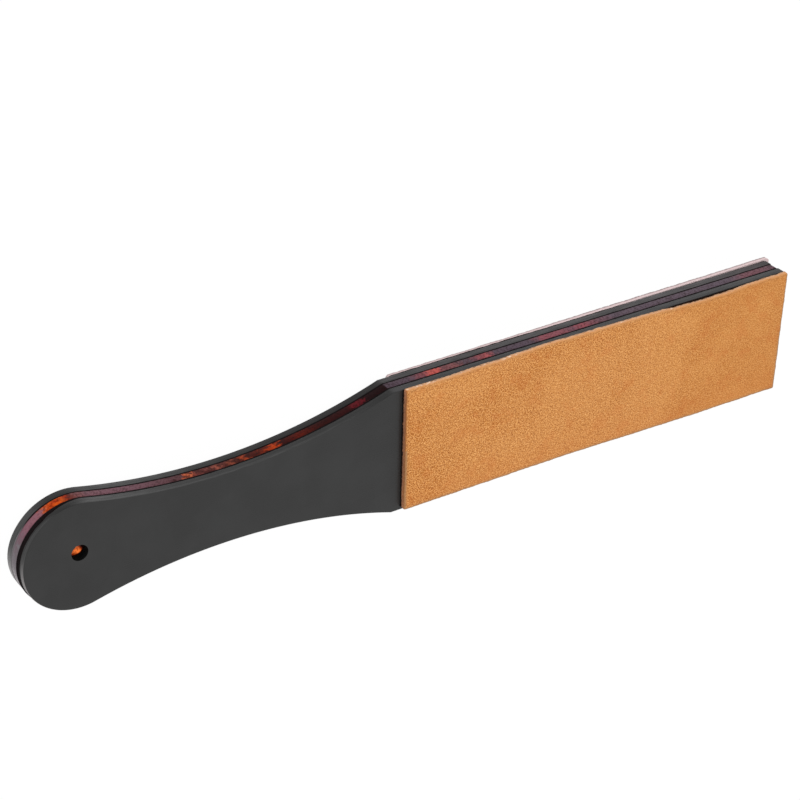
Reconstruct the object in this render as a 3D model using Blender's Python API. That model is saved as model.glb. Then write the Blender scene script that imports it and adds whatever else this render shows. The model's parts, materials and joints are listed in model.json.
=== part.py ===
"""Double-sided leather strop on a laminated paddle board. Blender 4.5, metres, +Z up.

The strop lies flat on its back leather. +X runs along the board from the round end of the
handle to the square end of the blade, +Y goes across the board, and +Z points out of the front
leather. The origin is in the middle of the footprint, on the surface that the back leather
rests on.

The board is three acrylic sheets cut to one paddle outline: a tortoiseshell core between two
charcoal scales, joined by thin black glue films. Each side of the blade carries a leather pad
on a bed of black adhesive. Nothing moves.
"""

import math

import bmesh
import bpy

MM = 0.001

# Paddle outline, seen from the front.
BLADE_WIDTH = 50.0 * MM
BLADE_LENGTH = 181.6 * MM  # shoulder to square end
BULB_RADIUS = 20.3 * MM
WAIST_WIDTH = 27.7 * MM
WAIST_RADIUS = 210.0 * MM  # concave sides of the handle
TIP_CORNER_RADIUS = 0.4 * MM
CORE_SET_BACK = 0.5 * MM  # the core stops short of the scales at the square end

# Hanging hole, near the centre of the bulb.
HOLE_DIAMETER = 5.9 * MM
HOLE_FORWARD = 0.3 * MM
HOLE_RAISED = 1.35 * MM

# Thickness of each layer.
SCALE_THICKNESS = 3.2 * MM
CORE_THICKNESS = 3.6 * MM
GLUE_THICKNESS = 0.25 * MM
ADHESIVE_THICKNESS = 0.4 * MM
LEATHER_THICKNESS = 2.0 * MM
LAYER_GAP = 0.03 * MM  # air left between neighbouring layers

# Edges.
RIM_RADIUS = 0.3 * MM  # rounding where a scale's outer face meets its side
GLUE_INSET = 0.15 * MM  # the glue films lie just inside the outline
LEATHER_RIM_RADIUS = 0.3 * MM

# Leather pads: how far each starts past the shoulder, how far it passes the square end, its
# width at both ends, and how far its middle line lies above the board's there.
FRONT_PAD = {
    "set_back": 4.1 * MM,
    "overhang": 0.0 * MM,
    "width_at_handle": 49.9 * MM,
    "width_at_tip": 50.9 * MM,
    "raised_at_handle": 0.85 * MM,
    "raised_at_tip": -0.85 * MM,
}
BACK_PAD = {
    "set_back": 4.9 * MM,
    "overhang": 2.2 * MM,
    "width_at_handle": 50.0 * MM,
    "width_at_tip": 50.0 * MM,
    "raised_at_handle": -0.45 * MM,
    "raised_at_tip": 0.45 * MM,
}
ADHESIVE_INSET = 0.5 * MM
ADHESIVE_SQUEEZE = 0.4 * MM  # shows in front of the front pad's edge at the handle

# Smoothness of the round stretches.
BULB_STEPS = 34
WAIST_STEPS = 22
TIP_CORNER_STEPS = 4
RIM_STEPS = 4
HOLE_STEPS = 48

# Places that follow from the dimensions above.
WAIST_CENTRE_Y = WAIST_WIDTH / 2 + WAIST_RADIUS
BULB_TO_WAIST = math.sqrt((WAIST_RADIUS + BULB_RADIUS) ** 2 - WAIST_CENTRE_Y**2)
WAIST_TO_SHOULDER = math.sqrt(WAIST_RADIUS**2 - (WAIST_CENTRE_Y - BLADE_WIDTH / 2) ** 2)
HANDLE_LENGTH = BULB_RADIUS + BULB_TO_WAIST + WAIST_TO_SHOULDER
OVERALL_LENGTH = HANDLE_LENGTH + BLADE_LENGTH + BACK_PAD["overhang"]
BULB_X = -OVERALL_LENGTH / 2 + BULB_RADIUS
WAIST_X = BULB_X + BULB_TO_WAIST
SHOULDER_X = WAIST_X + WAIST_TO_SHOULDER
TIP_X = SHOULDER_X + BLADE_LENGTH


def remove_everything():
    for thing in list(bpy.data.objects):
        bpy.data.objects.remove(thing, do_unlink=True)


def make_material(name, colour, roughness, coat=0.0, sheen=0.0):
    material = bpy.data.materials.new(name)
    material.use_nodes = True
    material.diffuse_color = (*colour, 1.0)
    shader = material.node_tree.nodes["Principled BSDF"]
    shader.inputs["Base Color"].default_value = (*colour, 1.0)
    shader.inputs["Roughness"].default_value = roughness
    shader.inputs["Metallic"].default_value = 0.0
    shader.inputs["Coat Weight"].default_value = coat
    shader.inputs["Sheen Weight"].default_value = sheen
    return material


def arc(centre, radius, start, end, steps):
    """Points on an arc from angle start to angle end, both included."""
    points = []
    for step in range(steps + 1):
        angle = start + (end - start) * step / steps
        x = centre[0] + radius * math.cos(angle)
        y = centre[1] + radius * math.sin(angle)
        points.append((x, y))
    return points


def paddle_outline(inset=0.0, tip_set_back=0.0):
    """The paddle's edge, drawn inset towards the middle, anticlockwise.

    A bulb arc runs into a concave waist arc on each side. They touch without a corner, and the
    waist arcs end in the hard corners of the shoulder.
    """
    half_width = BLADE_WIDTH / 2 - inset
    waist_radius = WAIST_RADIUS + inset
    tip_x = TIP_X - tip_set_back - inset
    corner_radius = TIP_CORNER_RADIUS - inset
    touch = math.atan2(WAIST_CENTRE_Y, BULB_TO_WAIST)
    shoulder = math.asin((WAIST_CENTRE_Y - half_width) / waist_radius)

    lower = arc((BULB_X, 0.0), BULB_RADIUS - inset, math.pi, 2 * math.pi - touch, BULB_STEPS)
    waist = arc(
        (WAIST_X, -WAIST_CENTRE_Y), waist_radius, math.pi - touch, shoulder, WAIST_STEPS
    )
    lower += waist[1:]
    corner_centre = (tip_x - corner_radius, corner_radius - half_width)
    lower += arc(corner_centre, corner_radius, -math.pi / 2, 0.0, TIP_CORNER_STEPS)
    upper = [(x, -y) for x, y in reversed(lower[1:])]
    return lower + upper


def pad_outline(pad, inset=0.0, squeeze=0.0):
    """A pad's four sides, drawn inset, anticlockwise. squeeze moves the handle end outwards."""
    handle_x = SHOULDER_X + pad["set_back"] + inset - squeeze
    tip_x = TIP_X + pad["overhang"] - inset
    handle_half = pad["width_at_handle"] / 2 - inset
    tip_half = pad["width_at_tip"] / 2 - inset
    return [
        (handle_x, pad["raised_at_handle"] - handle_half),
        (tip_x, pad["raised_at_tip"] - tip_half),
        (tip_x, pad["raised_at_tip"] + tip_half),
        (handle_x, pad["raised_at_handle"] + handle_half),
    ]


def rim_levels(low, high, radius, round_top, round_bottom):
    """(inset, z) of the rings up a layer's side, with a quarter round at the rims asked for."""
    turns = [math.pi / 2 * step / RIM_STEPS for step in range(RIM_STEPS + 1)]
    top = [(0.0, high)]
    bottom = [(0.0, low)]
    if round_top:
        top = [(radius * (1 - math.cos(t)), high - radius * (1 - math.sin(t))) for t in turns]
    if round_bottom:
        bottom = [(radius * (1 - math.cos(t)), low + radius * (1 - math.sin(t))) for t in turns]
    return list(reversed(bottom)) + top


def add_loop(mesh, points, z):
    """A closed loop of vertices and edges at height z."""
    verts = [mesh.verts.new((x, y, z)) for x, y in points]
    edges = [mesh.edges.new((verts[i - 1], verts[i])) for i in range(len(verts))]
    return verts, edges


def join_loops(mesh, lower, upper):
    """A band of quads between two loops with the same number of vertices."""
    for i in range(len(lower)):
        mesh.faces.new((lower[i - 1], lower[i], upper[i], upper[i - 1]))


def make_layer(name, material, outline_at, levels, hole=None):
    """A flat layer as one closed body.

    outline_at(inset) gives the layer's outline, levels lists (inset, z) from the bottom to the
    top, and hole is the outline of a hole straight through.
    """
    mesh = bmesh.new()
    rings = [add_loop(mesh, outline_at(inset), z) for inset, z in levels]
    for (lower, _), (upper, _) in zip(rings, rings[1:]):
        join_loops(mesh, lower, upper)

    bottom_edges = rings[0][1]
    top_edges = rings[-1][1]
    if hole:
        hole_bottom, hole_bottom_edges = add_loop(mesh, hole, levels[0][1])
        hole_top, hole_top_edges = add_loop(mesh, hole, levels[-1][1])
        join_loops(mesh, hole_bottom, hole_top)
        bottom_edges = bottom_edges + hole_bottom_edges
        top_edges = top_edges + hole_top_edges
    bmesh.ops.triangle_fill(mesh, use_beauty=True, use_dissolve=False, edges=bottom_edges)
    bmesh.ops.triangle_fill(mesh, use_beauty=True, use_dissolve=False, edges=top_edges)
    bmesh.ops.recalc_face_normals(mesh, faces=mesh.faces)

    data = bpy.data.meshes.new(name)
    mesh.to_mesh(data)
    mesh.free()
    data.materials.append(material)
    data.shade_smooth()
    data.set_sharp_from_angle(angle=math.radians(30))
    layer = bpy.data.objects.new(name, data)
    bpy.context.scene.collection.objects.link(layer)
    return layer


def core_outline(inset):
    return paddle_outline(inset, tip_set_back=CORE_SET_BACK)


def glue_outline(inset):
    return paddle_outline(inset + GLUE_INSET, tip_set_back=CORE_SET_BACK)


def front_pad_outline(inset):
    return pad_outline(FRONT_PAD, inset)


def back_pad_outline(inset):
    return pad_outline(BACK_PAD, inset)


def front_adhesive_outline(inset):
    return pad_outline(FRONT_PAD, inset + ADHESIVE_INSET, ADHESIVE_INSET + ADHESIVE_SQUEEZE)


def back_adhesive_outline(inset):
    under_pad = pad_outline(BACK_PAD, inset + ADHESIVE_INSET)
    board_end = TIP_X - ADHESIVE_INSET
    return [(min(x, board_end), y) for x, y in under_pad]


def build_strop():
    charcoal = make_material("charcoal_acrylic", (0.051, 0.051, 0.053), 0.32)
    tortoiseshell = make_material("tortoiseshell_acrylic", (0.23, 0.05, 0.03), 0.18, coat=0.4)
    glue = make_material("black_glue", (0.012, 0.010, 0.010), 0.5)
    adhesive = make_material("black_adhesive", (0.016, 0.008, 0.005), 0.6)
    tan_leather = make_material("tan_leather", (0.63, 0.26, 0.09), 0.85, sheen=0.3)
    pink_leather = make_material("pale_leather", (0.75, 0.58, 0.53), 0.85, sheen=0.2)

    hole_centre = (BULB_X + HOLE_FORWARD, HOLE_RAISED)
    hole = arc(hole_centre, HOLE_DIAMETER / 2, 0.0, 2 * math.pi, HOLE_STEPS)[:-1]

    # From the bottom up: name, material, outline, thickness, hole, rim radius, rounded rims.
    layers = [
        ("back_leather", pink_leather, back_pad_outline, LEATHER_THICKNESS, None,
         LEATHER_RIM_RADIUS, {"bottom"}),
        ("back_leather_adhesive", adhesive, back_adhesive_outline, ADHESIVE_THICKNESS, None,
         0.0, set()),
        ("back_scale", charcoal, paddle_outline, SCALE_THICKNESS, hole, RIM_RADIUS, {"bottom"}),
        ("back_glue_line", glue, glue_outline, GLUE_THICKNESS, hole, 0.0, set()),
        ("core", tortoiseshell, core_outline, CORE_THICKNESS, hole, 0.0, set()),
        ("front_glue_line", glue, glue_outline, GLUE_THICKNESS, hole, 0.0, set()),
        ("front_scale", charcoal, paddle_outline, SCALE_THICKNESS, hole, RIM_RADIUS, {"top"}),
        ("front_leather_adhesive", adhesive, front_adhesive_outline, ADHESIVE_THICKNESS, None,
         0.0, set()),
        ("front_leather", tan_leather, front_pad_outline, LEATHER_THICKNESS, None,
         LEATHER_RIM_RADIUS, {"top"}),
    ]
    low = 0.0
    for name, material, outline_at, thickness, opening, radius, rounded in layers:
        high = low + thickness
        levels = rim_levels(low, high, radius, "top" in rounded, "bottom" in rounded)
        make_layer(name, material, outline_at, levels, opening)
        low = high + LAYER_GAP


remove_everything()
build_strop()
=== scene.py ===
"""The looks of a double-sided leather strop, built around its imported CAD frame.

Metres. +X runs along the board from the handle's round end to the blade's square end, +Y goes across
the board, and +Z points out of the front leather. The CAD layers are flat, so each is rebuilt here at
the same place with fine round edges, and the two leather pads become hand-cut napped hides.
"""

import json
import math

import bmesh
import bpy
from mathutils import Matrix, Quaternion, Vector, noise


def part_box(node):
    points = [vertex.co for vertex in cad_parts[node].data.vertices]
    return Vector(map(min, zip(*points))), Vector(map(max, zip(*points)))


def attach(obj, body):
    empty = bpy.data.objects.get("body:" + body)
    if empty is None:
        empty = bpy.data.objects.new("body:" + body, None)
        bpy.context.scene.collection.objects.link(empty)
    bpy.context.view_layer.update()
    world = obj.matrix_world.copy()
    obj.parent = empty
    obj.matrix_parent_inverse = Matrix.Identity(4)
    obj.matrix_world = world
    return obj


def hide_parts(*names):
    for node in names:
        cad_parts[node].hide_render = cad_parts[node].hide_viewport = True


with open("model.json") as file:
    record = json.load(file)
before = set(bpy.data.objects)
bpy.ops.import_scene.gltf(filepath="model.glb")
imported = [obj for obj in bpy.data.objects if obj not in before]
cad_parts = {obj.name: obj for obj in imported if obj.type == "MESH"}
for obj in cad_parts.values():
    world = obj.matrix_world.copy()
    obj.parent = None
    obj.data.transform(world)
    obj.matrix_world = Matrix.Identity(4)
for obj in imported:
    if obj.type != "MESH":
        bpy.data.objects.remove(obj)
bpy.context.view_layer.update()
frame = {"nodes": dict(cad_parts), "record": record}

MM = 0.001

# Paddle outline, as the CAD draws it. The blade's width and both ends come from the frame.
BULB_RADIUS = 20.3 * MM
WAIST_WIDTH = 27.7 * MM
WAIST_RADIUS = 210.0 * MM
TIP_CORNER_RADIUS = 0.4 * MM
TIP_CORNER_STEPS = 8
HOLE_DIAMETER = 5.9 * MM
HOLE_RIM = 0.12 * MM
HOLE_STEPS = 96
BULB_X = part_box("back_scale")[0].x + BULB_RADIUS
SHOULDER_X = -20.93 * MM  # where the handle meets the blade
UPPER_SIDE_Y = 20.0 * MM  # the blade's upper side lies past this

# Board layers.
RIM_RADIUS = 0.25 * MM  # where a scale's outer face meets its side
SHEET_EDGE = 0.1 * MM  # the eased edges along the glue lines
OUTLINE_STEP = 0.7 * MM  # length of one outline edge on the straight sides
GLUE_PROUD = 0.04 * MM  # how far the glue squeezed out of its joint stands off the side
GLUE_SPILL = 0.22 * MM  # and how far it spreads over the edges of the layers on both sides
HOLE_GLUE_SPILL = 0.05 * MM  # the same in the hole
GLUE_RIM_WIDTH = 0.4 * MM  # from the film's rim in to its flat part
GLUE_WANDERS = [(1.1 * MM, 0.05 * MM, 2.0), (6.0 * MM, 0.03 * MM, 5.0)]  # length, height, salt

# The handle's end, shaped by hand. Angles are about the bulb's centre, in degrees from +X.
BEVEL_WIDTH = 1.0 * MM  # on the front scale
BEVEL_ANGLES = (108.0, 214.0)
STEP_WIDTH = 0.35 * MM  # by which the core and the back scale stand out past the front scale
STEP_ANGLES = (138.0, 236.0)
SMEAR_ANGLES = (78.0, 236.0)  # black glue smeared along that step
SMEAR_UP = 1.7 * MM  # over the scale
SMEAR_START = 0.25 * MM  # the glue line's own width
SMEAR_DOWN = 0.2 * MM  # over the core
SMEAR_HEIGHT = 0.07 * MM
SMEAR_SUNK = 0.05 * MM  # how far its back lies inside the board
SMEAR_FOOT = 0.5 * MM  # height over which it climbs onto the step
SMEAR_RAGGED = 0.12  # share by which its upper edge wanders
SMEAR_TONGUES = 22.0  # along its length
SMEAR_STEPS = 150
SMEAR_ROWS = 8

# Leather pads.
PAD_STEP = 0.45 * MM
FRONT_CORNER_RADIUS = 0.35 * MM
BACK_CORNER_RADIUS = 1.3 * MM
PAD_RIM_RADIUS = 0.35 * MM
RIM_STEPS = 5
WALL_STEPS = 7
ROLL_OFF = 0.05 * MM  # how far the face sinks towards its rim
ROLL_OFF_WIDTH = 1.2 * MM
RIM_SHADE_WIDTH = 0.4 * MM  # of the strip along the rim that is painted darker as shade
RIM_FADE = 0.5 * MM  # depth at which the face's relief and painted rim shade have faded on the wall
FRAY_FADE = 2.0 * MM  # width of the strip that follows the stray of the cut edge
WAVE_LENGTH = 11.0 * MM  # slow waves of the hand-cut edges
WAVE_HEIGHT = 0.10 * MM
NICK_LENGTH = 3.2 * MM  # small steps left by the knife
NICK_HEIGHT = 0.12 * MM
FRAY_LENGTH = 0.8 * MM  # fibres along the edges
FRAY_HEIGHT = 0.15 * MM
SWELL_LENGTH = 22.0 * MM  # slow rise and fall of the napped face
SWELL_HEIGHT = 0.05 * MM
NAP_LENGTH = 1.0 * MM
NAP_HEIGHT = 0.018 * MM

# How far the pads' long edges drift across the board from straight: (x, drift), in mm.
FRONT_UPPER_DRIFT = [(-17, -0.3), (0, -0.25), (20, 0.2), (45, 0.9), (70, 0.65), (92, 0.4), (98, 0.2),
                     (105, -0.4), (120, -0.65), (131, -0.55), (141, 0.1), (155, 0.35), (161, 0.6)]
FRONT_LOWER_DRIFT = [(-17, 0.0), (10, 0.2), (45, 0.5), (64, 0.5), (92, 0.0), (120, -0.3), (161, -0.2)]
BACK_UPPER_DRIFT = [(-17, -0.15), (5, -0.2), (30, -0.3), (75, -0.1), (110, -0.15), (163, -0.05)]
BACK_LOWER_DRIFT = [(-17, 0.0), (163, 0.0)]

# The adhesive that shows along the board's upper edge: (x, how far it stands out), in mm. On the
# other sides it stands out by the same amount all along.
FRONT_BEAD = [(-17, -0.1), (99, -0.1), (104, 0.6), (112, 0.6), (122, 0.4), (134, 0.5), (139, -0.1),
              (161, -0.1)]
BACK_BEAD = [(-17, 0.8), (20, 0.75), (35, 0.7), (50, 0.5), (75, 0.35), (100, 0.0), (163, -0.2)]
FRONT_ELSEWHERE = -0.15 * MM
BACK_ELSEWHERE = -0.2 * MM
BEAD_SWELL = 0.15 * MM  # how far the bead's middle stands out past its two edges
BEAD_SET_BACK = 0.1 * MM  # of those edges from how far the bead is said to stand out
BEAD_STEPS = 6
BEAD_WANDERS = [(2.5 * MM, 0.12 * MM, 21.0), (0.8 * MM, 0.06 * MM, 23.0)]  # length, height, salt

# Loose tufts left by the knife on the front pad's upper edge: x in mm.
TUFTS = [-12, 28, 44, 79, 103, 141, 151]
TUFT_LENGTH = 1.1 * MM
TUFT_HEIGHT = 0.4 * MM

# Studio.
FLOOR_SIZE = 6.0
FLOOR_GLOW = 0.97
KEY_PLACE = (-0.35, 0.9, 0.9)
KEY_SIZE = 1.5
KEY_POWER = 6.0

# Camera.
CAMERA_TARGET = Vector((-14.56 * MM, 17.49 * MM, 7.77 * MM))
CAMERA_DISTANCE = 736.96 * MM
CAMERA_AZIMUTH = math.radians(133.384)  # from +X towards +Y
CAMERA_ELEVATION = math.radians(45.583)
CAMERA_ROLL = math.radians(128.516)
CAMERA_LENS = 93.93

# Tan suede's colours.
TAN = "#bc7220"
TAN_LIGHT = "#e8ab69"
TAN_DEEP = "#864208"
RUSSET = "#b45c1a"


def linear(code):
    """A colour code such as #d08c50 as the linear RGB that shaders use."""
    parts = [int(code[i:i + 2], 16) / 255 for i in (1, 3, 5)]
    return tuple(c / 12.92 if c <= 0.04045 else ((c + 0.055) / 1.055) ** 2.4 for c in parts)


# ---------------------------------------------------------------- materials


class Finish:
    """A procedural material. Its textures lie in object coordinates, in metres."""

    def __init__(self, name, roughness, specular=0.5, sheen=0.0):
        self.material = bpy.data.materials.new(name)
        self.material.use_nodes = True
        self.nodes = self.material.node_tree.nodes
        self.links = self.material.node_tree.links
        self.shader = self.nodes["Principled BSDF"]
        self.shade("Roughness", roughness)
        self.shade("Specular IOR Level", specular)
        self.shade("Sheen Weight", sheen)
        self.place = self.nodes.new("ShaderNodeTexCoord").outputs["Object"]
        self.axes = self.nodes.new("ShaderNodeSeparateXYZ")
        self.links.new(self.place, self.axes.inputs[0])

    def feed(self, socket, value):
        """Links value to a socket if it is another node's output, or sets it."""
        if isinstance(value, bpy.types.NodeSocket):
            self.links.new(value, socket)
        elif isinstance(value, str):
            socket.default_value = (*linear(value), 1.0)
        else:
            socket.default_value = value

    def shade(self, name, value):
        """Feeds one input of the shader."""
        self.feed(self.shader.inputs[name], value)

    def noise(self, size, detail=2.0, rough=0.5, stretch=(1.0, 1.0, 1.0), bend=0.0):
        """Noise with features of about that size, drawn out along the axes by stretch."""
        mapping = self.nodes.new("ShaderNodeMapping")
        mapping.inputs["Scale"].default_value = [1 / s for s in stretch]
        self.links.new(self.place, mapping.inputs["Vector"])
        texture = self.nodes.new("ShaderNodeTexNoise")
        texture.inputs["Scale"].default_value = 1 / size
        texture.inputs["Detail"].default_value = detail
        texture.inputs["Roughness"].default_value = rough
        texture.inputs["Distortion"].default_value = bend
        self.links.new(mapping.outputs["Vector"], texture.inputs["Vector"])
        return texture.outputs["Fac"]

    def axis(self, letter):
        return self.axes.outputs[letter]

    def attribute(self, name):
        node = self.nodes.new("ShaderNodeAttribute")
        node.attribute_name = name
        return node.outputs["Fac"]

    def calc(self, operation, a, b=0.0):
        node = self.nodes.new("ShaderNodeMath")
        node.operation = operation
        self.feed(node.inputs[0], a)
        self.feed(node.inputs[1], b)
        return node.outputs["Value"]

    def product(self, first, *others):
        """All the values multiplied."""
        for other in others:
            first = self.calc("MULTIPLY", first, other)
        return first

    def spread(self, value, low, high, to_low=0.0, to_high=1.0):
        """value from low..high moved to to_low..to_high and held there, with a smooth step."""
        node = self.nodes.new("ShaderNodeMapRange")
        node.interpolation_type = "SMOOTHSTEP"
        for slot_name, number in zip(("From Min", "From Max", "To Min", "To Max"),
                                     (low, high, to_low, to_high)):
            node.inputs[slot_name].default_value = number
        self.feed(node.inputs["Value"], value)
        return node.outputs["Result"]

    def ramp(self, value, stops):
        """A colour ramp through (position, colour code) stops."""
        node = self.nodes.new("ShaderNodeValToRGB")
        elements = node.color_ramp.elements
        while len(elements) < len(stops):
            elements.new(0.5)
        for element, (position, code) in zip(elements, stops):
            element.position = position
            element.color = (*linear(code), 1.0)
        self.feed(node.inputs["Fac"], value)
        return node.outputs["Color"]

    def along_board(self, stops, shift=0.0):
        """A colour ramp along X through (x in mm, colour code) stops."""
        first, last = stops[0][0], stops[-1][0]
        past_first = self.calc("SUBTRACT", self.calc("ADD", self.axis("X"), shift), first * MM)
        share = self.calc("DIVIDE", past_first, (last - first) * MM)
        return self.ramp(share, [((x - first) / (last - first), code) for x, code in stops])

    def distance(self, centre):
        """Distance in plan from a point on the board."""
        node = self.nodes.new("ShaderNodeVectorMath")
        node.operation = "DISTANCE"
        flat = self.nodes.new("ShaderNodeCombineXYZ")
        self.links.new(self.axis("X"), flat.inputs["X"])
        self.links.new(self.axis("Y"), flat.inputs["Y"])
        self.links.new(flat.outputs[0], node.inputs[0])
        node.inputs[1].default_value = (*centre, 0.0)
        return node.outputs["Value"]

    def mix(self, share, a, b, blend="MIX"):
        node = self.nodes.new("ShaderNodeMix")
        node.data_type = "RGBA"
        node.blend_type = blend
        self.feed(node.inputs["Factor"], share)
        self.feed(node.inputs["A"], a)
        self.feed(node.inputs["B"], b)
        return node.outputs["Result"]

    def relief(self, *layers):
        """Bump from (height, depth in metres) layers, one on top of the other."""
        normal = None
        for height, depth in layers:
            node = self.nodes.new("ShaderNodeBump")
            node.inputs["Distance"].default_value = depth
            self.links.new(height, node.inputs["Height"])
            if normal:
                self.links.new(normal, node.inputs["Normal"])
            normal = node.outputs["Normal"]
        self.links.new(normal, self.shader.inputs["Normal"])


def tan_face(finish, grain, fibre):
    """The napped face: crisp grain, smoother towards the tip, with faint clouds."""
    blotch = finish.noise(6.0 * MM, detail=3.0, rough=0.55)
    cloud = finish.noise(30.0 * MM, detail=2.0)
    face = finish.ramp(grain, [(0.36, TAN_DEEP), (0.5, TAN), (0.64, TAN_LIGHT)])
    face = finish.mix(finish.spread(fibre, 0.36, 0.50, 0.70, 0.0), face, TAN_DEEP)
    face = finish.mix(finish.spread(fibre, 0.50, 0.64, 0.0, 0.70), face, TAN_LIGHT)
    smooth = finish.mix(finish.spread(cloud, 0.42, 0.58), "#c07d38", "#ca883e")
    face = finish.mix(finish.spread(finish.axis("X"), 75 * MM, 145 * MM, 0.0, 0.40), face, smooth)
    face = finish.mix(finish.spread(blotch, 0.50, 0.68, 0.0, 0.25), face, RUSSET)
    face = finish.mix(finish.spread(cloud, 0.40, 0.62, 0.0, 0.12), face, TAN_LIGHT)
    return finish.mix(finish.spread(finish.axis("Y"), -10 * MM, -25 * MM, 0.0, 0.14), face, RUSSET)


def tan_cut(finish, layered, depth):
    """The cut edge: layered, and painted darker as shade at the handle's end, which faces from the light."""
    height = finish.calc("ADD", depth, finish.spread(layered, 0.3, 0.7, -0.28, 0.28))
    cut = finish.ramp(height, [(0.1, "#c8874a"), (0.4, "#c98e5a"), (0.8, "#c89c78"), (1.0, "#7c583e")])
    dark = finish.ramp(height, [(0.05, "#ac6a30"), (0.2, "#9a5c2c"), (0.75, "#a87250"), (1.0, "#583626")])
    return finish.mix(finish.attribute("shaded_end_wall"), cut, dark)


def loose_fibre(finish, depth):
    """Where loose fibres hide the cut edge: in the tufts, and in patches towards the handle's end."""
    fluff = finish.noise(2.0 * MM, detail=3.0, rough=0.7)
    patchy = finish.spread(fluff, 0.42, 0.66, -0.35, 0.35)
    by_handle = finish.spread(finish.axis("X"), 55 * MM, 20 * MM, -0.3, 0.0)
    tufts = finish.product(finish.attribute("tuft"), 1.5)
    loose = finish.calc("ADD", tufts, finish.calc("ADD", patchy, by_handle))
    elsewhere = finish.calc("SUBTRACT", 1.0, finish.attribute("shaded_end_wall"))
    return finish.product(finish.spread(loose, 0.0, 0.5), finish.spread(depth, 0.05, 0.6), elsewhere)


def make_tan_suede():
    """Napped tan hide with a layered cut edge."""
    finish = Finish("tan_suede", roughness=0.9, specular=0.2, sheen=0.1)
    grain = finish.noise(0.5 * MM, detail=2.0, rough=0.6)
    fibre = finish.noise(0.3 * MM, detail=1.0)
    layered = finish.noise(0.5 * MM, detail=3.0, stretch=(3.0, 3.0, 0.6))
    depth = finish.attribute("depth")
    face = tan_face(finish, grain, fibre)
    colour = finish.mix(finish.spread(depth, 0.0, 0.08), face, tan_cut(finish, layered, depth))
    # Painted shade on the rounded rim, where it turns from the light: most at the lower edge and the blade's
    # end.
    colour = finish.mix(finish.product(finish.attribute("rim"), 0.9), colour, "#93704f")
    colour = finish.mix(loose_fibre(finish, depth), colour, "#e4c8b0")
    finish.shade("Base Color", colour)
    finish.shade("Roughness", finish.spread(grain, 0.3, 0.7, 0.95, 0.85))
    finish.relief((grain, 0.05 * MM), (fibre, 0.03 * MM), (layered, 0.03 * MM))
    return finish.material


def make_pale_suede():
    """Undyed pinkish hide for the back pad."""
    finish = Finish("pale_suede", roughness=0.9, specular=0.2, sheen=0.1)
    grain = finish.noise(0.6 * MM, detail=2.0, rough=0.6)
    fibre = finish.noise(0.25 * MM, detail=2.0, rough=0.6)
    blotch = finish.noise(11.0 * MM, detail=3.0)
    cloud = finish.noise(48.0 * MM, detail=2.0)
    face = finish.ramp(grain, [(0.32, "#cfa99b"), (0.5, "#e2c8be"), (0.7, "#eedad2")])
    face = finish.mix(finish.spread(blotch, 0.5, 0.72, 0.0, 0.30), face, "#cfa492")
    face = finish.mix(finish.spread(cloud, 0.35, 0.68, 0.0, 0.25), face, "#efe0d8")
    layered = finish.noise(0.5 * MM, detail=3.0, stretch=(1.6, 3.0, 0.6))
    depth = finish.attribute("depth")
    height = finish.calc("ADD", depth, finish.spread(layered, 0.3, 0.7, -0.12, 0.12))
    cut = finish.ramp(height, [(0.05, "#a08c8c"), (0.3, "#ac9898"), (0.5, "#c8b2b2"), (1.0, "#d4bebe")])
    # The cut wall darker near the face, more so towards the blade's end.
    darker_near_face = finish.product(finish.spread(depth, 0.6, 0.2),
                            finish.spread(finish.axis("X"), 20 * MM, 80 * MM, 0.0, 0.45))
    cut = finish.mix(darker_near_face, cut, "#6c5a5a")
    colour = finish.mix(finish.spread(depth, 0.0, 0.10), face, cut)
    finish.shade("Base Color", colour)
    finish.shade("Roughness", finish.spread(grain, 0.3, 0.7, 0.96, 0.85))
    finish.relief((grain, 0.06 * MM), (fibre, 0.04 * MM), (layered, 0.04 * MM))
    return finish.material


def make_charcoal():
    """Charcoal acrylic with a satin face and faint polishing lines."""
    finish = Finish("charcoal_acrylic", roughness=0.35, specular=0.25)
    tones = finish.noise(16.0 * MM, detail=3.0)
    line = finish.noise(0.35 * MM, detail=2.0, stretch=(30.0, 1.0, 1.0))
    speck = finish.noise(0.22 * MM, detail=1.0)
    colour = finish.mix(finish.spread(tones, 0.35, 0.7), "#272727", "#2b2b2b")
    colour = finish.mix(finish.spread(speck, 0.70, 0.80, 0.0, 0.4), colour, "#3e3e3f")
    finish.shade("Base Color", colour)
    rough = finish.calc("ADD", finish.spread(tones, 0.3, 0.7, 0.24, 0.32),
                        finish.spread(line, 0.45, 0.75, 0.0, 0.08))
    finish.shade("Roughness", rough)
    finish.relief((line, 0.0012 * MM), (tones, 0.02 * MM))
    return finish.material


# The scales' sides along the board, with the studio's reflection painted into their colour: x in mm, colour.
BACK_SIDE_REFLECTION = [
    (-163, "#6c6c6c"), (-160, "#686868"), (-156.5, "#525252"), (-153, "#3c3c3c"), (-149, "#262626"),
    (-143, "#262626"), (-136, "#404040"), (-116, "#434343"), (-90, "#2c2c2c"), (-60, "#262424"),
    (-23, "#252424"), (-19, "#434142"), (120, "#4a4748"), (150, "#443f40"), (162, "#3e393a"),
]
FRONT_SIDE_REFLECTION = [
    (-163, "#1c1c1c"), (-156, "#141414"), (-150, "#0c0c0c"), (-143, "#0e0e0e"), (-138, "#343434"),
    (-133, "#3c3c3c"), (-118, "#2c2c2c"), (-104, "#1a1a1a"), (-60, "#171717"), (-23, "#121212"),
    (-19, "#2d2c2d"), (10, "#242324"), (60, "#2a292a"), (162, "#2e2d2e"),
]


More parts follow.
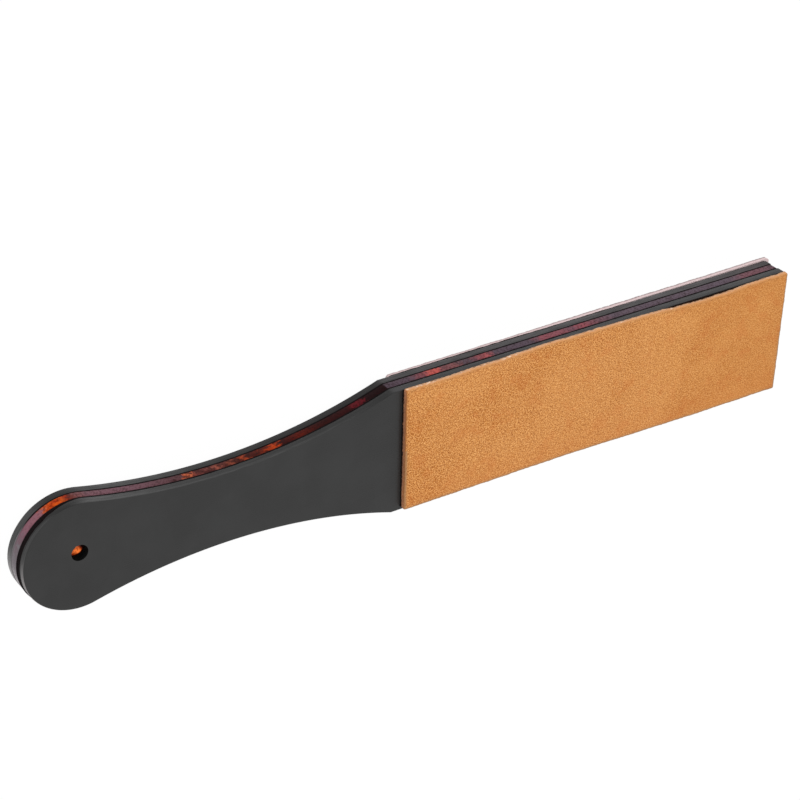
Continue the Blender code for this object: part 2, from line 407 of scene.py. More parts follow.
def make_charcoal_side(name, tones, specular, painted_sheen_above, handle_rim=0.0):
    """The sawn and polished sides of a scale, with painted reflection along the board, and a painted pale
    sheen at the handle's end above one height. handle_rim is how much paler than its foot the front
    scale's rim is along the handle: a painted highlight on the rim over painted shade at the foot."""
    finish = Finish(name, roughness=0.4, specular=specular)
    streak = finish.noise(1.2 * MM, detail=3.0, stretch=(6.0, 6.0, 0.35))
    patch = finish.noise(9.0 * MM, detail=2.0)
    colour = finish.along_board(tones)
    rim_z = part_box("front_scale")[1].z
    # Along the handle: a painted highlight on the front scale's upper rim, and painted shade at its foot.
    on_handle = finish.product(finish.spread(finish.axis("X"), -15 * MM, -60 * MM, 0.0, handle_rim),
                               finish.spread(finish.axis("X"), -146 * MM, -138 * MM))
    rim = finish.spread(finish.axis("Z"), rim_z - 1.7 * MM, rim_z - 0.2 * MM)
    foot = finish.spread(finish.axis("Z"), rim_z - 1.9 * MM, rim_z - 3.1 * MM)
    colour = finish.mix(finish.product(on_handle, rim), colour, "#484848")
    colour = finish.mix(finish.product(on_handle, foot), colour, "#0a0a0a")
    colour = finish.mix(finish.spread(streak, 0.42, 0.62, 0.0, 0.3), colour, "#0c0c0c")
    colour = finish.mix(finish.spread(patch, 0.4, 0.65, 0.0, 0.2), colour, "#0a0a0a")
    # Painted pale sheen at the handle's end, paler on the lower side, where the sides would mirror the white
    # studio.
    painted_sheen = finish.product(finish.spread(finish.axis("Z"), painted_sheen_above, painted_sheen_above + 0.5 * MM),
                          finish.spread(finish.axis("X"), -147 * MM, -158 * MM, 0.0, 0.9))
    sheen_colour = finish.mix(finish.spread(finish.axis("Y"), 8 * MM, -8 * MM), "#3a3a3a", "#868282")
    sheen_colour = finish.mix(finish.spread(streak, 0.45, 0.65, 0.0, 0.35), sheen_colour, "#1c1c1c")
    colour = finish.mix(painted_sheen, colour, sheen_colour)
    finish.shade("Base Color", colour)
    finish.shade("Roughness", finish.spread(streak, 0.35, 0.65, 0.34, 0.46))
    finish.relief((streak, 0.006 * MM))
    return finish.material


def make_shaded_hole_wall():
    """The scales' wall in the hanging hole: rough from the drill and left unpolished, and painted near
    black as shade down in the hole.
    """
    finish = Finish("shaded_hole_charcoal", roughness=0.8, specular=0.03)
    groove = finish.noise(0.5 * MM, detail=2.0, stretch=(6.0, 6.0, 0.6))
    finish.shade("Base Color", finish.ramp(groove, [(0.35, "#080808"), (0.7, "#141414")]))
    finish.relief((groove, 0.03 * MM))
    return finish.material


# The tortoiseshell's marbling along the board: x in mm, colour. Its grey first stop is painted sheen,
# and the bright orange at the handle's end is the amber's own colour painted brighter by light through it.
HANDLE_MARBLING = [
    (-163, "#747074"), (-161.5, "#6a545c"), (-159.5, "#765460"), (-153, "#82545c"), (-151.5, "#b45430"),
    (-150, "#aa3c0c"), (-147.5, "#a23206"), (-145, "#9e2e06"), (-142.5, "#5c241a"), (-140, "#704444"),
    (-136, "#6c4a52"), (-120, "#664750"), (-101, "#503235"), (-99.8, "#b05434"),
    (-98, "#b45a38"), (-96.8, "#6a302a"), (-91, "#643430"), (-88.5, "#8a4838"), (-86.5, "#461f1f"),
    (-83, "#803e2c"), (-80.5, "#280c0c"), (-77.5, "#9a3c1c"), (-75.5, "#34100e"), (-72, "#50180c"),
    (-65, "#b03c10"), (-63, "#280808"), (-56, "#501206"), (-48, "#2a0a08"), (-35.5, "#2c090a"),
    (-33.5, "#58121a"), (-31.5, "#541018"), (-29.5, "#1c080a"),
]
BLADE_MARBLING = [
    (-21, "#4c3e48"), (-11, "#4e3f49"), (-5, "#7a4248"), (-3.5, "#b0504a"), (1.5, "#ae504a"),
    (3, "#6e4448"), (9, "#764849"), (13, "#4a4048"), (17, "#684048"), (23, "#a04e50"), (26, "#50424c"),
    (43, "#50434d"), (47, "#824850"), (58, "#7c4850"), (61, "#644550"), (65, "#8a464e"),
    (72, "#6a464e"), (80, "#574953"), (138, "#574a54"), (145, "#704a52"), (154, "#6c4a52"), (162, "#54444c"),
]


def marbled(finish, swirl, ripple):
    """The marbling's colours, bent by both noises, and further along on the board's lower side."""
    lower_side = finish.spread(finish.axis("Y"), -11 * MM, -17 * MM, 0.0, 26 * MM)
    shift = finish.calc("ADD", lower_side, finish.spread(swirl, 0.3, 0.7, -0.9 * MM, 0.9 * MM))
    shift = finish.calc("ADD", shift, finish.spread(ripple, 0.3, 0.7, -1.0 * MM, 1.0 * MM))
    handle = finish.along_board(HANDLE_MARBLING, shift)
    blade = finish.along_board(BLADE_MARBLING, shift)
    at_blade = finish.spread(finish.axis("X"), SHOULDER_X - 0.3 * MM, SHOULDER_X + 0.3 * MM)
    return finish.mix(at_blade, handle, blade)


def darkened(finish, colour, streak):
    """Dark streaks and flecks, a dark veil over the middle of the handle, and painted shade near the
    glued faces, where the black glue would shadow the translucent core.
    """
    past_bulb = finish.spread(finish.axis("X"), -156 * MM, -151 * MM, 0.3, 1.0)
    streaked = finish.product(finish.spread(streak, 0.50, 0.68, 0.0, 0.40), past_bulb)
    colour = finish.mix(streaked, colour, "#200a0c")
    fleck = finish.noise(0.7 * MM, detail=1.0)
    flecked = finish.product(finish.spread(fleck, 0.50, 0.62, 0.0, 0.5), past_bulb)
    colour = finish.mix(flecked, colour, "#8a645c", "MULTIPLY")

    veil = finish.noise(2.2 * MM, detail=2.0)
    veiled = finish.product(finish.spread(finish.axis("X"), -108 * MM, -104 * MM),
                            finish.spread(finish.axis("X"), -60 * MM, -64 * MM),
                            finish.spread(veil, 0.48, 0.60, 0.0, 0.7))
    colour = finish.mix(veiled, colour, "#2c0e0d")

    # Painted shade: the core darker near its glued faces.
    low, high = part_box("core")
    off_middle = finish.calc("ABSOLUTE", finish.calc("SUBTRACT", finish.axis("Z"), (low.z + high.z) / 2))
    return finish.mix(finish.spread(off_middle, 1.0 * MM, 1.9 * MM, 0.0, 0.45), colour, "#1c080a")


def coloured_end(finish, colour, swirl):
    """The handle's end: amber swirls with painted glints of light through them, then a stretch painted
    grey as the white studio's sheen, paler on the lower side.
    """
    # Painted glints where light shines through the amber.
    swirls = finish.product(finish.spread(finish.axis("X"), -153 * MM, -151 * MM),
                            finish.spread(finish.axis("X"), -143 * MM, -146 * MM),
                            finish.spread(swirl, 0.48, 0.62, 0.0, 0.5))
    colour = finish.mix(swirls, colour, "#e0641c")
    # Painted grey sheen, paler on the lower side.
    painted_sheen = finish.spread(finish.axis("X"), -159 * MM, -162.8 * MM, 0.0, 0.7)
    sheen_colour = finish.mix(finish.spread(finish.axis("Y"), 3 * MM, -7 * MM), "#655c61", "#8c888a")
    return finish.mix(painted_sheen, colour, sheen_colour)


def make_tortoiseshell():
    """Tortoiseshell acrylic: amber and ember patches in a plum and maroon body, with painted light in the
    hole's wall, which glows where light would shine through."""
    finish = Finish("tortoiseshell_acrylic", roughness=0.25, specular=0.03)
    swirl = finish.noise(4.0 * MM, detail=2.0, bend=0.6)
    ripple = finish.noise(1.4 * MM, detail=2.0, bend=0.5)
    streak = finish.noise(1.4 * MM, detail=2.0, stretch=(0.8, 1.0, 1.6), bend=0.5)
    colour = marbled(finish, swirl, ripple)
    colour = darkened(finish, colour, streak)
    colour = coloured_end(finish, colour, swirl)

    # Painted light and shade in the hole's wall: bright amber that also glows where light would shine
    # through the core, near black on the side that light does not reach.
    hole_x, hole_y = hole_place()
    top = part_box("core")[1].z
    by_hole = finish.spread(finish.distance((hole_x, hole_y)), 4.5 * MM, 3.2 * MM)
    lit = finish.product(finish.spread(finish.axis("Y"), hole_y - 0.9 * MM, hole_y - 2.5 * MM),
                         finish.spread(finish.axis("X"), hole_x - 1.0 * MM, hole_x + 0.8 * MM, 0.7, 1.0),
                         finish.spread(ripple, 0.35, 0.6, 0.6, 1.0),
                         finish.spread(finish.axis("Z"), top - 0.1 * MM, top - 0.6 * MM))
    amber = finish.ramp(lit, [(0.0, "#160604"), (0.5, "#98340f"), (1.0, "#ee7834")])
    colour = finish.mix(by_hole, colour, amber)
    finish.shade("Base Color", colour)
    finish.shade("Emission Color", amber)
    finish.shade("Emission Strength", finish.product(by_hole, lit, 0.8))
    finish.shade("Roughness", finish.spread(ripple, 0.3, 0.7, 0.18, 0.32))
    finish.relief((streak, 0.01 * MM), (ripple, 0.004 * MM))
    return finish.material


def make_glue(name, painted_end_sheen=0.0):
    """Black glue film: dull, with tiny pits. The second argument is how much pale sheen is painted on it
    round the handle's end, as the white studio's reflection."""
    finish = Finish(name, roughness=0.7, specular=0.03)
    grain = finish.noise(0.5 * MM, detail=3.0)
    colour = finish.ramp(grain, [(0.35, "#0a0606"), (0.7, "#160e10")])
    # Painted pale sheen round the handle's end.
    colour = finish.mix(finish.spread(finish.axis("X"), -156 * MM, -161 * MM, 0.0, painted_end_sheen), colour, "#6c686a")
    finish.shade("Base Color", colour)
    finish.shade("Roughness", finish.spread(grain, 0.3, 0.7, 0.6, 0.8))
    finish.relief((grain, 0.03 * MM))
    return finish.material


def make_adhesive():
    """Brown-black contact adhesive, with strings and bubbles."""
    finish = Finish("black_adhesive", roughness=0.75, specular=0.05)
    grain = finish.noise(0.6 * MM, detail=3.0)
    finish.shade("Base Color", finish.ramp(grain, [(0.35, "#0c0503"), (0.72, "#23120b")]))
    finish.shade("Roughness", finish.spread(grain, 0.3, 0.7, 0.5, 0.75))
    finish.relief((grain, 0.06 * MM))
    return finish.material


# ---------------------------------------------------------------- outlines


def arc(centre, radius, start, end, steps):
    """Points on an arc from angle start to angle end, both included."""
    angles = [start + (end - start) * step / steps for step in range(steps + 1)]
    return [(centre[0] + radius * math.cos(a), centre[1] + radius * math.sin(a)) for a in angles]


def steps_along(length):
    return max(2, round(length / OUTLINE_STEP))


class Paddle:
    """The paddle's outline, from the CAD's arcs and a board layer's own box."""

    def __init__(self, node):
        low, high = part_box(node)
        full_low, full_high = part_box("back_scale")
        self.half_width = (full_high.y - full_low.y) / 2
        self.tip_x = high.x
        self.waist_y = WAIST_WIDTH / 2 + WAIST_RADIUS
        bulb_to_waist = math.sqrt((WAIST_RADIUS + BULB_RADIUS) ** 2 - self.waist_y**2)
        self.waist_x = BULB_X + bulb_to_waist
        self.touch = math.atan2(self.waist_y, bulb_to_waist)

    def outline(self, inset):
        """The edge, drawn inset towards the middle, anticlockwise from the bulb's end. It has the same
        number of points at every inset."""
        half = self.half_width - inset
        waist_radius = WAIST_RADIUS + inset
        shoulder = math.asin((self.waist_y - half) / waist_radius)
        tip_x = self.tip_x - inset
        corner = TIP_CORNER_RADIUS - min(inset, TIP_CORNER_RADIUS / 2)
        bulb_turn = math.pi - self.touch
        lower = arc((BULB_X, 0.0), BULB_RADIUS - inset, math.pi, math.pi + bulb_turn,
                    steps_along(BULB_RADIUS * bulb_turn))
        waist_turn = math.pi - self.touch - math.asin((self.waist_y - self.half_width) / WAIST_RADIUS)
        lower += arc((self.waist_x, -self.waist_y), waist_radius, math.pi - self.touch, shoulder,
                     steps_along(WAIST_RADIUS * waist_turn))[1:]
        shoulder_x = lower[-1][0]
        straight = tip_x - corner - shoulder_x
        # About the straight side's length, but without the inset, so that the count stays the same.
        count = steps_along(self.tip_x - self.waist_x - WAIST_RADIUS * math.sin(waist_turn / 2))
        lower += [(shoulder_x + straight * i / count, -half) for i in range(1, count)]
        lower += arc((tip_x - corner, corner - half), corner, -math.pi / 2, 0.0, TIP_CORNER_STEPS)
        rows = steps_along(2 * self.half_width)
        tip = [(tip_x, (corner - half) * (1 - 2 * i / rows)) for i in range(1, rows)]
        upper = [(x, -y) for x, y in reversed(lower[1:])]
        return lower + tip + upper


def hole_place():
    """The hanging hole's centre: the middle of the opening that the record states."""
    opening = frame["record"]["physics"]["openings"][0]["box_m"]
    return [(opening[0][i] + opening[1][i]) / 2 for i in range(2)]


def wander(x, y, length, height, salt):
    """A smooth random shift of at most about height, changing over about length."""
    return height * noise.noise(Vector((x / length, y / length, salt)))


def wander_all(x, y, wanders):
    """The sum of wanders, given as (length, height, salt)."""
    return sum(wander(x, y, *each) for each in wanders)


def pushed(points, shift_at):
    """A closed outline with each point moved outwards by shift_at(x, y)."""
    moved = []
    for i, (x, y) in enumerate(points):
        before = points[i - 1]
        after = points[(i + 1) % len(points)]
        tangent = Vector((after[0] - before[0], after[1] - before[1])).normalized()
        shift = shift_at(x, y)
        moved.append((x + tangent.y * shift, y - tangent.x * shift))
    return moved


# ---------------------------------------------------------------- meshes


def add_ring(mesh, points):
    """A closed loop of vertices and edges."""
    verts = [mesh.verts.new(point) for point in points]
    edges = [mesh.edges.new((verts[i - 1], verts[i])) for i in range(len(verts))]
    return verts, edges


def join_rings(mesh, lower, upper):
    for i in range(len(lower)):
        mesh.faces.new((lower[i - 1], lower[i], upper[i], upper[i - 1]))


def add_piece(name, mesh, materials, node, sharp_angle=40.0):
    """Finishes a bmesh as a piece that rides on the board and stands for a CAD node."""
    bmesh.ops.recalc_face_normals(mesh, faces=mesh.faces)
    data = bpy.data.meshes.new(name)
    mesh.to_mesh(data)
    mesh.free()
    for material in materials:
        data.materials.append(material)
    data.shade_smooth()
    data.set_sharp_from_angle(angle=math.radians(sharp_angle))
    piece = bpy.data.objects.new(name, data)
    bpy.context.scene.collection.objects.link(piece)
    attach(piece, "root")
    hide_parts(node)
    return piece


def quarter_round(radius, steps):
    """(inset, drop) of the rings of a quarter round, from the side up to the face."""
    turns = [math.pi / 2 * step / steps for step in range(steps + 1)]
    return [(radius * (1 - math.cos(t)), radius * (1 - math.sin(t))) for t in turns]


def edge_levels(low, high, bottom_radius, top_radius, steps=4):
    """(inset, z) rings up a layer's side. A ring just inside each round keeps the caps flat."""
    bottom = [(inset, low + drop) for inset, drop in quarter_round(bottom_radius, steps)]
    top = [(inset, high - drop) for inset, drop in quarter_round(top_radius, steps)]
    bottom.append((bottom_radius + SHEET_EDGE, low))
    top.append((top_radius + SHEET_EDGE, high))
    return list(reversed(bottom)) + top


def fill_levels(mesh, rings_of, levels):
    """The walls through the rings at these levels. Returns the edges of both end rings."""
    rings = [add_ring(mesh, rings_of(inset, z)) for inset, z in levels]
    for (lower, _), (upper, _) in zip(rings, rings[1:]):
        join_rings(mesh, lower, upper)
    return rings[0][1], rings[-1][1]


def hump(x, y, angles):
    """A smooth hump, 0 to 1 and back, over that range of angles about the bulb's centre."""
    angle = math.degrees(math.atan2(y, x - BULB_X)) % 360
    share = (angle - angles[0]) / (angles[1] - angles[0])
    return math.sin(math.pi * share) ** 1.5 if 0 < share < 1 else 0.0


def make_sheet(name, node, materials, slot, outline, levels, hole_levels, extra=None):
    """One layer of the board, with the hanging hole through it. outline(inset, z) gives its rings.
    materials are the one on its faces and, where they differ, those on its sides and in the hole."""
    mesh = bmesh.new()
    centre = hole_place()

    def hole(inset, z):
        ring = arc(centre, HOLE_DIAMETER / 2 + inset, 0.0, 2 * math.pi, HOLE_STEPS)[:-1]
        return [(x, y, z) for x, y in ring]

    outer_bottom, outer_top = fill_levels(mesh, outline, levels)
    hole_bottom, hole_top = fill_levels(mesh, hole, hole_levels)
    for rims in (outer_bottom + hole_bottom, outer_top + hole_top):
        bmesh.ops.triangle_fill(mesh, use_beauty=True, use_dissolve=False, edges=rims)
    if extra:
        extra(mesh)
    piece = add_piece(name, mesh, materials, node)
    for face in piece.data.polygons:
        if abs(face.normal.z) > 0.95:
            kind = 0
        elif (face.center.xy - Vector(centre)).length < HOLE_DIAMETER:
            kind = 2
        else:
            kind = 1
        face.material_index = min(kind, len(materials) - 1)


def make_layer(name, node, materials, slot, bottom_radius, top_radius, bevel=0.0, step=0.0):
    """A sheet of acrylic with eased edges. At the handle's end, bevel is the width of its top edge's
    bevel and step is how far it stands out."""
    low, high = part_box(node)
    paddle = Paddle(node)

    def outline(inset, z):
        """The top round's rings lie further in and further down where the rim is bevelled."""
        points = paddle.outline(inset)
        growth = bevel / top_radius - 1 if bevel and z > high.z - 1.01 * top_radius else 0.0

        def shift(x, y):
            return step * hump(x, y, STEP_ANGLES) - inset * growth * hump(x, y, BEVEL_ANGLES)

        heights = [z - (high.z - z) * growth * hump(x, y, BEVEL_ANGLES) for x, y in points]
        return [(x, y, height) for (x, y), height in zip(pushed(points, shift), heights)]

    levels = edge_levels(low.z, high.z, bottom_radius, top_radius)
    hole_levels = edge_levels(low.z, high.z, min(bottom_radius, HOLE_RIM), min(top_radius, HOLE_RIM))
    make_sheet(name, node, materials, slot, outline, levels, hole_levels)


def make_glue_film(name, node, glue, step=0.0, extra=None):
    """A glue film whose rim has spread over the eased edges of the layers above and below."""
    low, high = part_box(node)
    paddle = Paddle(node)

    def outline(inset, z):
        def shift(x, y):
            return wander_all(x, y, GLUE_WANDERS) + step * hump(x, y, STEP_ANGLES)

        return [(x, y, z) for x, y in pushed(paddle.outline(inset), shift)]

    def bead(spill):
        """(inset, z) rings up a rim that spills over both neighbours."""
        return [(GLUE_RIM_WIDTH, low.z), (0.0, low.z - spill), (-GLUE_PROUD, low.z - 0.6 * spill),
                (-GLUE_PROUD, high.z + 0.6 * spill), (0.0, high.z + spill), (GLUE_RIM_WIDTH, high.z)]

    rims = bead(GLUE_SPILL), bead(HOLE_GLUE_SPILL)
    make_sheet(name, node, [glue], "black_glue", outline, *rims, extra)


def add_smear(mesh):
    """Squeezed-out glue on the board's side, round the handle's end: wide at the end of the handle
    and thinning out to both sides."""
    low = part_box("front_scale")[0].z
    first, last = SMEAR_ANGLES
    sections = []
    for i in range(SMEAR_STEPS + 1):
        share = i / SMEAR_STEPS
        angle = math.radians(first + (last - first) * share)
        swell = min(1.0, math.sin(math.pi * share) * 1.25) ** 1.3
        ragged = 1 + SMEAR_RAGGED * noise.noise(Vector((share * SMEAR_TONGUES, 0.0, 4.0)))
        top = low + SMEAR_UP * swell * ragged
        bottom = low - SMEAR_START - SMEAR_DOWN * swell * (0.2 + 0.8 * share)
        out = STEP_WIDTH * hump(BULB_X + math.cos(angle), math.sin(angle), STEP_ANGLES)
        points = []
        for row in range(SMEAR_ROWS + 1):
            across = row / SMEAR_ROWS
            z = bottom + (top - bottom) * across
            foot = out * min(1.0, max(0.0, (low + SMEAR_FOOT - z) / SMEAR_FOOT))
            proud = SMEAR_HEIGHT * math.sin(math.pi * (0.12 + 0.76 * across))
            points.append((BULB_RADIUS + foot + proud, z))
        points += [(BULB_RADIUS - SMEAR_SUNK, top), (BULB_RADIUS - SMEAR_SUNK, bottom)]
        sections.append([mesh.verts.new((BULB_X + r * math.cos(angle), r * math.sin(angle), z))
                         for r, z in points])
    for one, other in zip(sections, sections[1:]):
        join_rings(mesh, one, other)
    mesh.faces.new(sections[0])
    mesh.faces.new(list(reversed(sections[-1])))


# ---------------------------------------------------------------- leather pads


def read_curve(stops, x):
    """A smooth curve through (x, value) stops."""
    for (x0, v0), (x1, v1) in zip(stops, stops[1:]):
        if x <= x1:
            t = min(1.0, max(0.0, (x - x0) / (x1 - x0)))
            return v0 + (v1 - v0) * t * t * (3 - 2 * t)
    return stops[-1][1]


def pad_corners(node):
    """A CAD pad's four corners in plan: lower left, lower right, upper right, upper left."""
    flat = [Vector((v.co.x, v.co.y)) for v in frame["nodes"][node].data.vertices]
    signs = [(-1, -1), (1, -1), (1, 1), (-1, 1)]
    return [max(flat, key=lambda p: p.x * sx + p.y * sy) for sx, sy in signs]


class Pad:
    """A hand-cut pad over its CAD solid. s runs along it and t across it, both from 0 to 1."""

    def __init__(self, node, corner_radius, lower_drift, upper_drift, tufts, salt):
        self.node = node
        self.low, self.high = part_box(node)
        self.corner_radius = corner_radius
        self.corners = pad_corners(node)
        self.lower_drift = lower_drift
        self.upper_drift = upper_drift
        self.tufts = tufts
        self.salt = salt

    def fray(self, x, y, level):
        """How far the cut edge strays outwards, at a level from 0 at the face to 1 at the glue."""
        slow = wander(x, y, WAVE_LENGTH, WAVE_HEIGHT, self.salt)
        nick = wander(x, y, NICK_LENGTH, NICK_HEIGHT, self.salt + 7)
        quick = wander(x, y, FRAY_LENGTH, FRAY_HEIGHT, self.salt + 3 + 2.5 * level)
        return slow + nick + quick

    def tuft(self, x):
        """How high the tufts stand there, as a share."""
        return sum(math.exp(-((x - t * MM) / (TUFT_LENGTH / 2)) ** 2) for t in self.tufts)

    def place(self, s, t, inset, level=0.0):
        """The point at (s, t) of the outline drawn inset."""
        a, b, c, d = self.corners
        left = a.x + (d.x - a.x) * t + inset
        right = b.x + (c.x - b.x) * t - inset
        x = left + (right - left) * s
        lower = a.y + (b.y - a.y) * s + read_curve(self.lower_drift, x / MM) * MM + inset
        upper = d.y + (c.y - d.y) * s + read_curve(self.upper_drift, x / MM) * MM - inset
        y = lower + (upper - lower) * t

        # What lies past a rounded corner is pulled back onto it.
        near_x = min(x - left, right - x)
        near_y = min(y - lower, upper - y)
        radius = self.corner_radius
        if near_x < radius and near_y < radius:
            reach = math.hypot(radius - near_x, radius - near_y)
            if reach > radius:
                pull_x = (radius - near_x) * (1 - radius / reach)
                pull_y = (radius - near_y) * (1 - radius / reach)
                x += pull_x if s < 0.5 else -pull_x
                y += pull_y if t < 0.5 else -pull_y

        # What lies near the cut edge strays with it.
        side_x = max(0.0, 1 - near_x / FRAY_FADE) * (-1 if s < 0.5 else 1)
        side_y = max(0.0, 1 - near_y / FRAY_FADE) * (-1 if t < 0.5 else 1)
        stray = self.fray(x, y, level)
        x += side_x * stray
        y += side_y * stray
        if t > 0.5:
            y += abs(side_y) * TUFT_HEIGHT * self.tuft(x) * (1 - level)
        return x, y

    def rise(self, x, y):
        """Height of the napped face over the pad's mean face."""
        swell = wander(x, y, SWELL_LENGTH, SWELL_HEIGHT, self.salt + 9)
        nap = wander(x, y, NAP_LENGTH, NAP_HEIGHT, self.salt + 11)
        fine = wander(x, y, NAP_LENGTH / 2.1, NAP_HEIGHT / 2, self.salt + 12)
        return swell + nap + fine


def even_shares(length, step):
    """Shares from 0 to 1 of a length, about a step apart."""
    count = round(length / step)
    return [i / count for i in range(count + 1)]


def side_levels(thickness):
    """(inset, drop) rings down a pad's rounded rim and cut wall."""
    rim = reversed(quarter_round(PAD_RIM_RADIUS, RIM_STEPS)[:-1])
    levels = [(inset, drop + ROLL_OFF) for inset, drop in rim]
    wall = levels[-1][1]
    for step in range(1, WALL_STEPS + 1):
        levels.append((0.0, wall + (thickness - wall) * step / WALL_STEPS))
    return levels


class PadMesh:
    """A pad's closed mesh. Its points lie in columns along the pad and rows across it."""

    def __init__(self, pad, face_up):
        self.pad = pad
        self.face_z = pad.high.z if face_up else pad.low.z
        self.sign = 1 if face_up else -1
        self.mesh = bmesh.new()
        labels = ("depth", "rim", "tuft", "shaded_end_wall")
        self.layers = [self.mesh.verts.layers.float.new(label) for label in labels]
        self.along = even_shares(pad.high.x - pad.low.x, PAD_STEP)
        self.across = even_shares(pad.high.y - pad.low.y, PAD_STEP)
        self.last_column = len(self.along) - 1
        self.last_row = len(self.across) - 1
        self.add_side(self.add_face())

    def add(self, x, y, drop, *values):
        """A vertex that far behind the face, with its values for the material. What would reach below
        the floor is pressed flat by it."""
        vert = self.mesh.verts.new((x, y, max(0.0, self.face_z - self.sign * drop)))
        for layer, value in zip(self.layers, values):
            vert[layer] = value
        return vert

    def rim_shading(self, i, j):
        """The rims at the lower edge and the blade's end take more painted shade than the other two."""
        return 1.0 if 2 * j <= self.last_row or i == self.last_column else 0.3

    def add_face(self):
        """The napped face. Returns its vertices by column and row."""
        grid = []
        for i, s in enumerate(self.along):
            column = []
            for j, t in enumerate(self.across):
                x, y = self.pad.place(s, t, PAD_RIM_RADIUS)
                edge = min(i, self.last_column - i, j, self.last_row - j) * PAD_STEP
                rim = self.rim_shading(i, j) * math.exp(-edge / RIM_SHADE_WIDTH)
                sunk = ROLL_OFF * math.exp(-edge / ROLL_OFF_WIDTH)
                column.append(self.add(x, y, sunk - self.pad.rise(x, y), 0.0, rim, 0.0, 0.0))
            grid.append(column)
        for one, other in zip(grid, grid[1:]):
            for j in range(self.last_row):
                self.mesh.faces.new((one[j], other[j], other[j + 1], one[j + 1]))
        return grid

    def border(self):
        """The columns and rows of the points round the face."""
        border = [(i, 0) for i in range(self.last_column)]
        border += [(self.last_column, j) for j in range(self.last_row)]
        border += [(i, self.last_row) for i in range(self.last_column, 0, -1)]
        border += [(0, j) for j in range(self.last_row, 0, -1)]
        return border

    def add_side(self, grid):
        """The rounded rim and the cut wall down from the face, and the glued side that closes them."""
        border = self.border()
        thickness = self.pad.high.z - self.pad.low.z
        ring = [grid[i][j] for i, j in border]
        for inset, drop in side_levels(thickness):
            level = drop / thickness
            fade = max(0.0, 1 - drop / RIM_FADE)
            lower_ring = []
            for i, j in border:
                x, y = self.pad.place(self.along[i], self.across[j], inset, level)
                lift = self.pad.rise(x, y) * fade
                tuft = min(1.0, self.pad.tuft(x)) * (1 - level) if j == self.last_row else 0.0
                rim = fade * self.rim_shading(i, j)
                # The last value marks the wall at the handle's end, which the suede paints darker as shade.
                lower_ring.append(self.add(x, y, drop - lift, level, rim, tuft, 1.0 if i == 0 else 0.0))
            join_rings(self.mesh, ring, lower_ring)
            ring = lower_ring
        edges = [self.mesh.edges.get((ring[i - 1], ring[i])) for i in range(len(ring))]
        bmesh.ops.triangle_fill(self.mesh, use_beauty=True, use_dissolve=False, edges=edges)


def make_pad(name, pad, material, face_up):
    """A leather pad, laid flat on its scale."""
    piece = add_piece(name, PadMesh(pad, face_up).mesh, [material], pad.node, sharp_angle=70.0)


def make_adhesive_bed(name, node, material, bead, elsewhere):
    """An adhesive bed whose squeezed-out rim is a wavy round bead. bead tells how far it stands out
    along the upper edge, and elsewhere how far on the other sides."""
    low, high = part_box(node)
    corners = pad_corners(node)
    outline = []
    for first, second in zip(corners, corners[1:] + corners[:1]):
        count = steps_along((second - first).length)
        outline += [tuple(first.lerp(second, i / count)) for i in range(count)]

    def stray(x, y):
        reach = read_curve(bead, x / MM) * MM if y > UPPER_SIDE_Y else elsewhere
        return reach + wander_all(x, y, BEAD_WANDERS) - BEAD_SET_BACK

    mesh = bmesh.new()
    half = (high.z - low.z) / 2
    rings = []
    for step in range(BEAD_STEPS + 1):
        turn = math.pi * step / BEAD_STEPS
        swell = BEAD_SWELL * math.sin(turn)
        z = low.z + half * (1 - math.cos(turn))
        points = pushed(outline, lambda x, y: stray(x, y) + swell)
        rings.append(add_ring(mesh, [(x, y, z) for x, y in points]))
    for (lower, _), (upper, _) in zip(rings, rings[1:]):
        join_rings(mesh, lower, upper)
    for _, edges in (rings[0], rings[-1]):
        bmesh.ops.triangle_fill(mesh, use_beauty=True, use_dissolve=False, edges=edges)
    add_piece(name, mesh, [material], node)


# ---------------------------------------------------------------- the strop


def build_board():
    """The acrylic sheets and glue films, from the back to the front."""
    charcoal = make_charcoal()
    back_side = make_charcoal_side("charcoal_back_side", BACK_SIDE_REFLECTION, specular=0.12,
                                   painted_sheen_above=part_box("back_scale")[0].z)
    front_side = make_charcoal_side("charcoal_front_side", FRONT_SIDE_REFLECTION, specular=0.25,
                                    painted_sheen_above=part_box("front_scale")[1].z - BEVEL_WIDTH, handle_rim=0.5)
    hole_shade = make_shaded_hole_wall()
    make_layer("back_scale_sheet", "back_scale", [charcoal, back_side, hole_shade], "charcoal_acrylic",
               RIM_RADIUS, SHEET_EDGE, step=STEP_WIDTH)
    make_glue_film("back_glue_film", "back_glue_line", make_glue("glue_with_painted_sheen", painted_end_sheen=0.85), step=STEP_WIDTH)
    make_layer("core_sheet", "core", [make_tortoiseshell()], "tortoiseshell_acrylic",
               SHEET_EDGE, SHEET_EDGE, step=STEP_WIDTH)
    make_glue_film("front_glue_film", "front_glue_line", make_glue("black_glue"), extra=add_smear)
    make_layer("front_scale_sheet", "front_scale", [charcoal, front_side, hole_shade], "charcoal_acrylic",
               SHEET_EDGE, RIM_RADIUS, bevel=BEVEL_WIDTH)


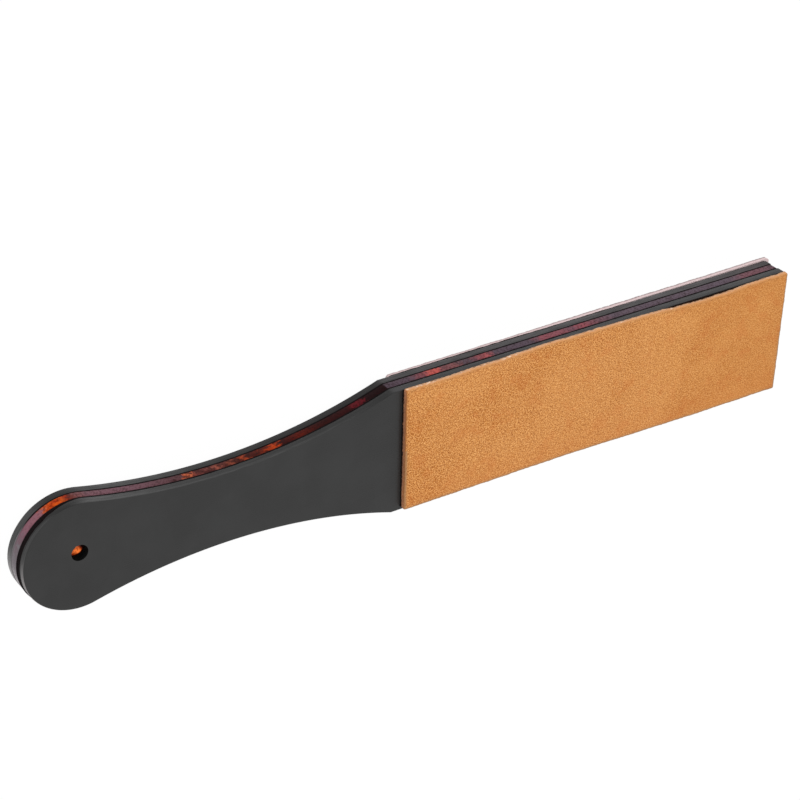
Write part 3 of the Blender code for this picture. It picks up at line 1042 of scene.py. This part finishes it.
def build_leather():
    """The pads of both sides on their adhesive beds."""
    adhesive = make_adhesive()
    make_adhesive_bed("front_adhesive_bed", "front_leather_adhesive", adhesive, FRONT_BEAD, FRONT_ELSEWHERE)
    make_adhesive_bed("back_adhesive_bed", "back_leather_adhesive", adhesive, BACK_BEAD, BACK_ELSEWHERE)
    front = Pad("front_leather", FRONT_CORNER_RADIUS, FRONT_LOWER_DRIFT, FRONT_UPPER_DRIFT, TUFTS, salt=1.7)
    make_pad("front_leather_pad", front, make_tan_suede(), face_up=True)
    back = Pad("back_leather", BACK_CORNER_RADIUS, BACK_LOWER_DRIFT, BACK_UPPER_DRIFT, [], salt=5.3)
    make_pad("back_leather_pad", back, make_pale_suede(), face_up=False)


# ---------------------------------------------------------------- stage


def build_stage():
    """A plain pale floor under a white studio."""
    bpy.ops.mesh.primitive_plane_add(size=FLOOR_SIZE)
    floor = bpy.context.object
    floor.name = "studio_floor"
    finish = Finish("studio_white", roughness=0.9, specular=0.1)
    grain = finish.noise(60.0 * MM, detail=2.0)
    colour = finish.mix(finish.spread(grain, 0.3, 0.7), "#303030", "#343434")
    finish.shade("Base Color", colour)
    finish.shade("Emission Color", "#ffffff")
    finish.shade("Emission Strength", FLOOR_GLOW)
    floor.data.materials.append(finish.material)

    world = bpy.data.worlds.new("studio")
    world.use_nodes = True
    world.node_tree.nodes["Background"].inputs["Color"].default_value = (1.0, 1.0, 1.0, 1.0)
    world.node_tree.nodes["Background"].inputs["Strength"].default_value = 1.0
    bpy.context.scene.world = world

    key = bpy.data.lights.new("key", "AREA")
    key.energy = KEY_POWER
    key.size = KEY_SIZE
    lamp = bpy.data.objects.new("key", key)
    lamp.location = KEY_PLACE
    aim = CAMERA_TARGET - lamp.location
    lamp.rotation_euler = aim.to_track_quat("-Z", "Y").to_euler()
    bpy.context.scene.collection.objects.link(lamp)


def build_camera():
    """A long lens from above the handle's upper side, rolled as the photo is."""
    back = Vector((math.cos(CAMERA_ELEVATION) * math.cos(CAMERA_AZIMUTH),
                   math.cos(CAMERA_ELEVATION) * math.sin(CAMERA_AZIMUTH),
                   math.sin(CAMERA_ELEVATION)))
    data = bpy.data.cameras.new("camera")
    data.lens = CAMERA_LENS
    data.clip_start = 0.01
    camera = bpy.data.objects.new("camera", data)
    camera.location = CAMERA_TARGET + back * CAMERA_DISTANCE
    camera.rotation_mode = "QUATERNION"
    camera.rotation_quaternion = (-back).to_track_quat("-Z", "Y") @ Quaternion((0, 0, 1), CAMERA_ROLL)
    bpy.context.scene.collection.objects.link(camera)
    bpy.context.scene.camera = camera
    bpy.context.scene.view_settings.view_transform = "Standard"


build_camera()
build_board()
build_leather()
build_stage()
